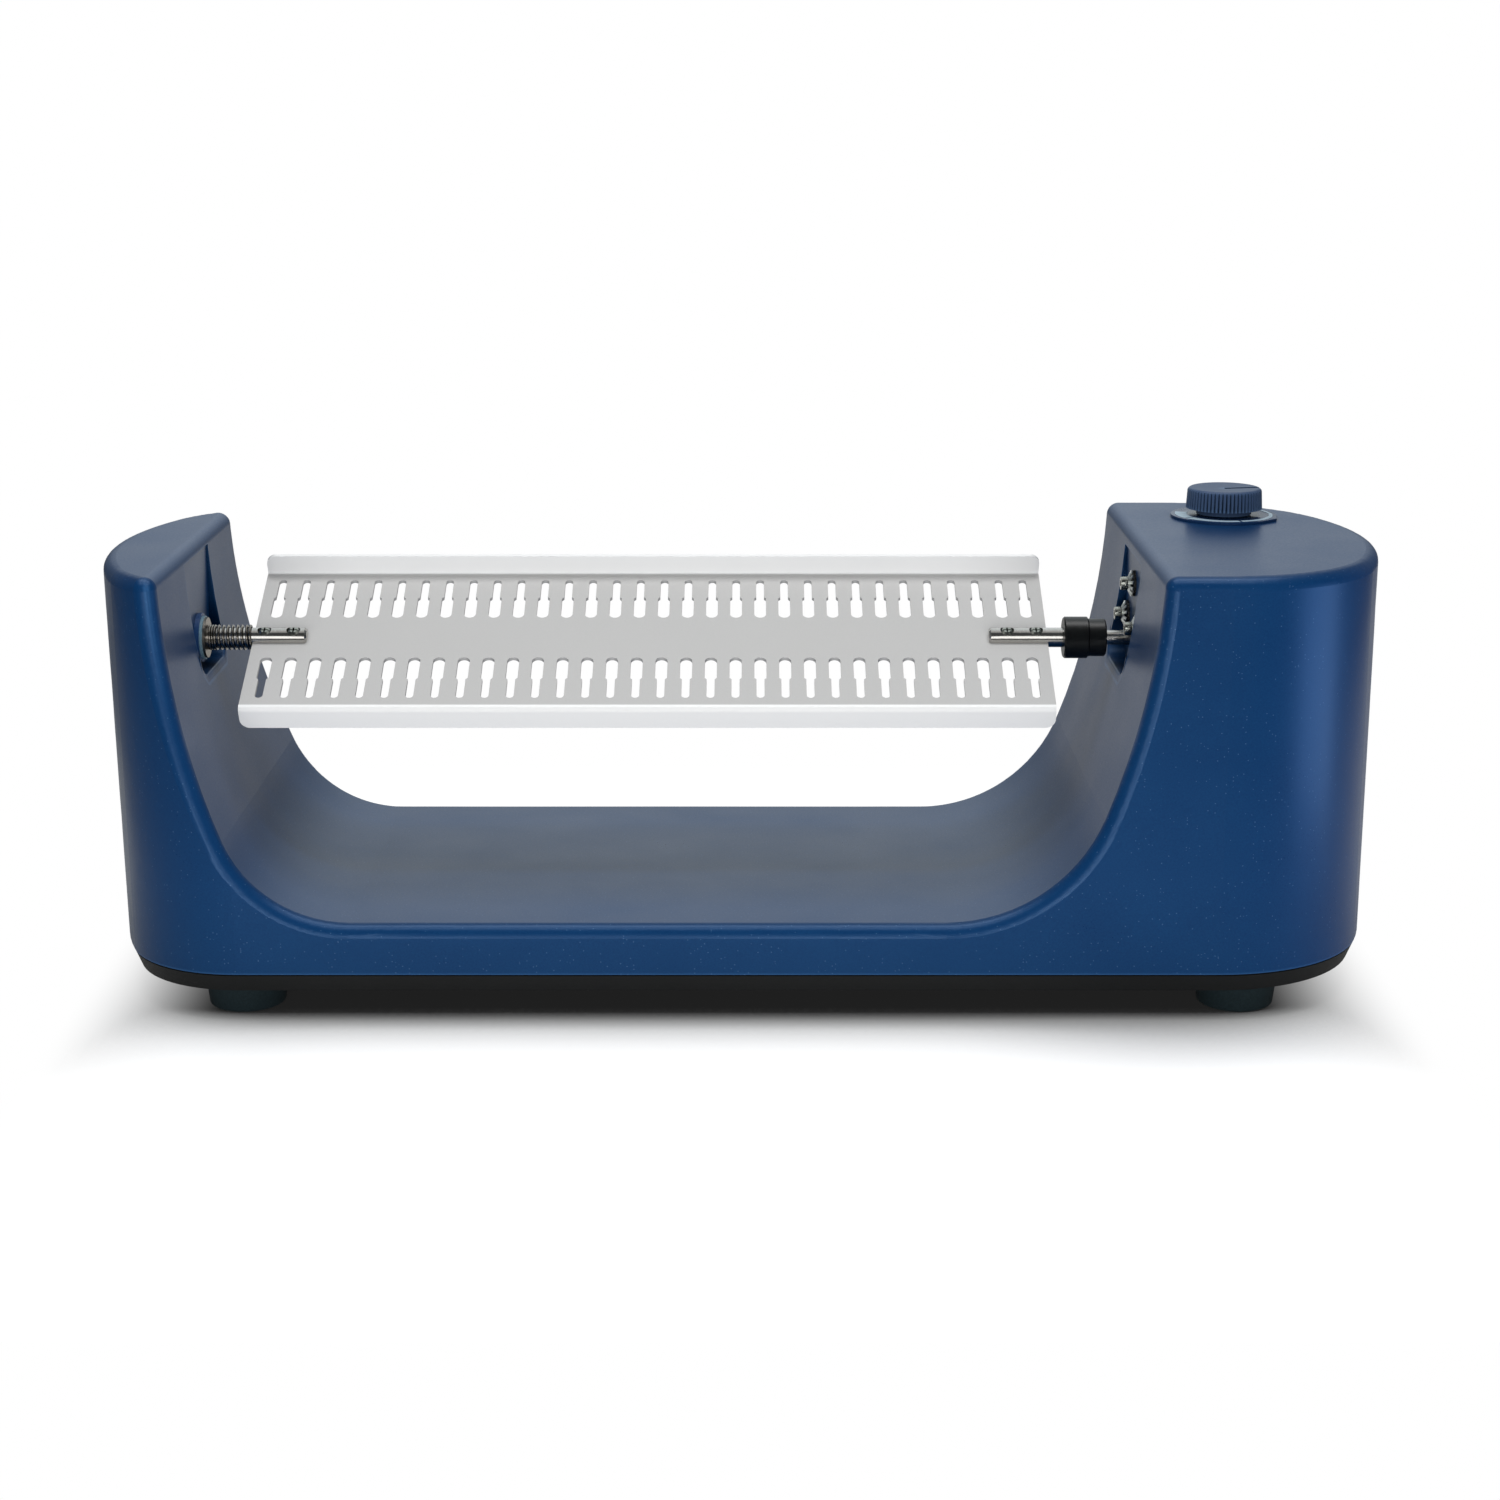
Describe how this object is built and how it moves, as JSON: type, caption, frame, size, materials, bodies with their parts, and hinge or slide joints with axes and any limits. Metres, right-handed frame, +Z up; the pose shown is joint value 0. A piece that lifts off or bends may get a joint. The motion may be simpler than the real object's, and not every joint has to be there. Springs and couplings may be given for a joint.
{
  "type": "tube rotator",
  "caption": "Bench rotator that slowly turns a keyhole plate of tubes end over end between two towers, with a speed knob on the drive tower.",
  "frame": {"origin": "on the bench, under the middle of the casing", "axes": "+X towards the drive tower, along the shaft; +Y to the rear; +Z up"},
  "size_m": [0.511, 0.1829, 0.1879],
  "materials": {
    "blue_casing": "moulded, fine satin texture",
    "black_tray": "moulded, fine matt texture",
    "foot_rubber": "moulded rubber",
    "plate_sheet": "satin anodised folded sheet",
    "turned_steel": "turned bar",
    "spring_steel": "drawn wire",
    "zinc_screws": "zinc plated",
    "black_steel": "black oxide",
    "coupling_plastic": "turned acetal",
    "bush_plastic": "turned plastic",
    "ring_plastic": "moulded plastic",
    "knob_plastic": "moulded, ribbed",
    "dial_plastic": "printed disc",
    "rocker_plastic": "moulded",
    "motor_steel": "zinc plated can",
    "contact_brass": "plated contacts",
    "board_laminate": "solder mask on laminate",
    "component_plastic": "moulded components"
  },
  "bodies": {
    "base": {"casing_shell": "blue_casing", "base_tray": "black_tray", "foot_front_left": "foot_rubber", "foot_front_right": "foot_rubber", "foot_rear_left": "foot_rubber", "foot_rear_right": "foot_rubber", "base_screws": "zinc_screws", "foot_screws": "zinc_screws", "tail_bush": "bush_plastic", "bush_ring": "ring_plastic", "bush_nut": "bush_plastic", "spring_washer": "zinc_screws", "gearbox": "motor_steel", "motor_can": "motor_steel", "motor_screws": "zinc_screws", "motor_flat_washers": "black_steel", "motor_lock_washers": "zinc_screws", "scale_dial": "dial_plastic", "potentiometer": "motor_steel", "pot_nut": "zinc_screws", "switch_housing": "black_tray", "power_inlet": "black_tray", "inlet_pins": "contact_brass", "inlet_screws": "zinc_screws", "control_board": "board_laminate", "board_components": "component_plastic", "board_screws": "zinc_screws"},
    "rotor": {"motor_shaft": "turned_steel", "drive_coupling": "coupling_plastic", "drive_pin": "turned_steel", "coupling_set_screw": "black_steel"},
    "carrier": {"tube_plate": "plate_sheet", "tail_shaft": "turned_steel", "drive_shaft": "turned_steel", "plate_screws": "zinc_screws", "plate_nuts": "zinc_screws", "release_spring": "spring_steel"},
    "knob": {"speed_knob": "knob_plastic", "pot_shaft": "motor_steel"},
    "rocker": {"switch_rocker": "rocker_plastic"}
  },
  "joints": [
    {"name": "rotor_spin", "type": "hinge", "parent": "base", "child": "rotor", "pos_m": [0, 0, 0.1336], "axis": [1, 0, 0], "continuous": true},
    {"name": "carrier_release", "type": "slide", "parent": "rotor", "child": "carrier", "axis": [-1, 0, 0], "range_m": [0, 0.0066], "stiffness_N_per_m": 900, "springref_m": -0.004, "deforming": ["release_spring"]},
    {"name": "speed_knob_turn", "type": "hinge", "parent": "base", "child": "knob", "pos_m": [0.2035, 0.0486, 0.18], "axis": [0, 0, 1], "range_deg": [-285, 0]},
    {"name": "power_rocker", "type": "hinge", "parent": "base", "child": "rocker", "pos_m": [0.2536, 0, 0.075], "axis": [0, 1, 0], "range_deg": [-18, 0]}
  ]
}
